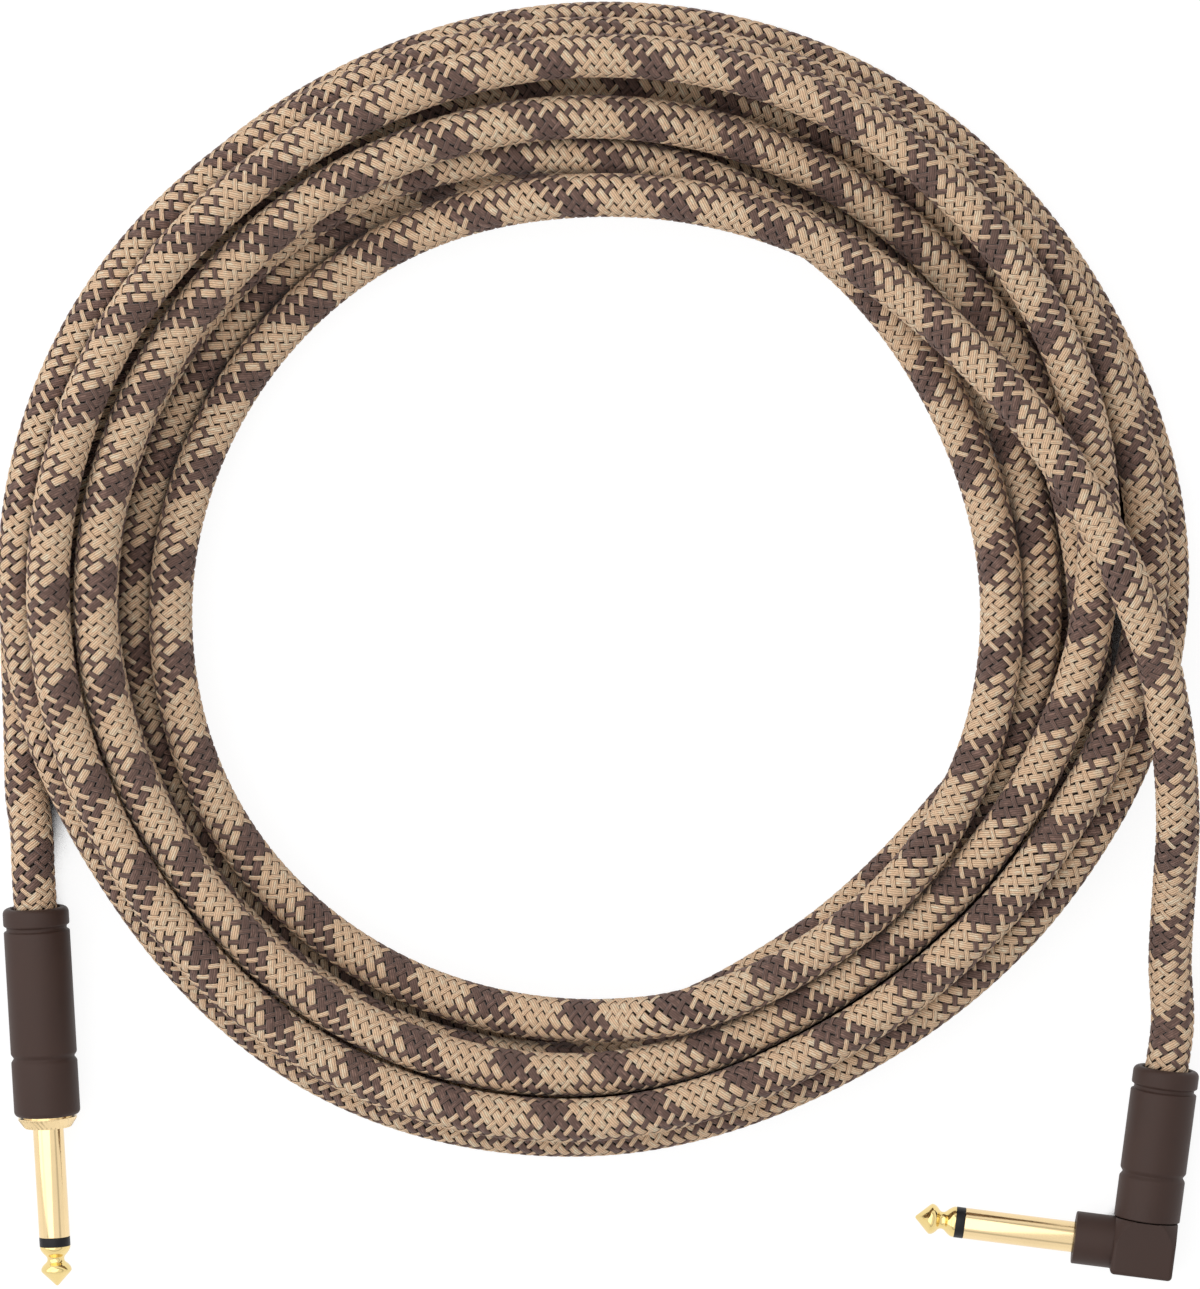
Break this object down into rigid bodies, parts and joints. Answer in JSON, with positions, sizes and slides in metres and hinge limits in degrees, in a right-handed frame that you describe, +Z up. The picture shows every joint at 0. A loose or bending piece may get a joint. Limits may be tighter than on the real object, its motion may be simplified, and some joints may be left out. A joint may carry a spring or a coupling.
{
  "type": "instrument cable",
  "caption": "Braided instrument cable wound in a loose coil, with a straight and a right-angle jack plug whose barrels unscrew.",
  "frame": {"origin": "on the surface the cable lies on, midway between the outermost points of the two plugs", "axes": "+Z up from the surface, +X from the straight plug towards the right-angle plug, +Y from the plugs towards the coil"},
  "size_m": [0.2453, 0.2633, 0.0347],
  "materials": {
    "braid": "woven cotton-like sleeve, tan with bands of brown yarn",
    "brown_barrel": "satin dark brown",
    "gold_plating": "polished gold plating",
    "black_plastic": "moulded black plastic",
    "fibre": "pressed fibre board",
    "tinned_brass": "tinned brass sheet",
    "inner_jacket": "soft black jacket",
    "core_insulation": "off-white polyethylene",
    "copper": "bare copper strands"
  },
  "bodies": {
    "root": {"straight_sleeve": "gold_plating", "straight_tip_insulator": "black_plastic", "straight_inner_insulator": "black_plastic", "straight_tip": "gold_plating", "straight_cable_clamp": "tinned_brass", "straight_tip_lug": "tinned_brass", "straight_inner_jacket": "inner_jacket", "straight_core_insulation": "core_insulation", "straight_centre_wire": "copper", "straight_shield_tail": "copper", "straight_knurled_collar": "gold_plating", "straight_insulating_washer": "fibre", "angle_sleeve": "gold_plating", "angle_tip_insulator": "black_plastic", "angle_inner_insulator": "black_plastic", "angle_tip": "gold_plating", "angle_cable_clamp": "tinned_brass", "angle_tip_lug": "tinned_brass", "angle_inner_jacket": "inner_jacket", "angle_core_insulation": "core_insulation", "angle_centre_wire": "copper", "angle_shield_tail": "copper", "angle_elbow": "brown_barrel", "cord_straight_lead": "braid", "cord_coil": "braid", "cord_angle_lead": "braid"},
    "straight_liner": {"straight_liner": "black_plastic"},
    "straight_barrel": {"straight_barrel": "brown_barrel"},
    "angle_liner": {"angle_liner": "black_plastic"},
    "angle_barrel": {"angle_barrel": "brown_barrel"}
  },
  "joints": [
    {"name": "straight_barrel_advance", "type": "slide", "parent": "root", "child": "straight_liner", "axis": [-0.0541, 0.9985, 0], "range_m": [0, 0.005]},
    {"name": "straight_barrel_turn", "type": "hinge", "parent": "straight_liner", "child": "straight_barrel", "pos_m": [-0.11356, -0.0042, 0.0068], "axis": [-0.0541, 0.9985, 0], "range_deg": [0, 1801]},
    {"name": "angle_barrel_advance", "type": "slide", "parent": "root", "child": "angle_liner", "axis": [0.1271, 0.9919, 0], "range_m": [0, 0.005]},
    {"name": "angle_barrel_turn", "type": "hinge", "parent": "angle_liner", "child": "angle_barrel", "pos_m": [0.11199, -0.02561, 0.0068], "axis": [0.1271, 0.9919, 0], "range_deg": [0, 1801]}
  ],
  "couplings": [
    {"joint": "straight_barrel_turn", "follows": "straight_barrel_advance", "rad_per_m": 6283.2},
    {"joint": "angle_barrel_turn", "follows": "angle_barrel_advance", "rad_per_m": 6283.2}
  ]
}
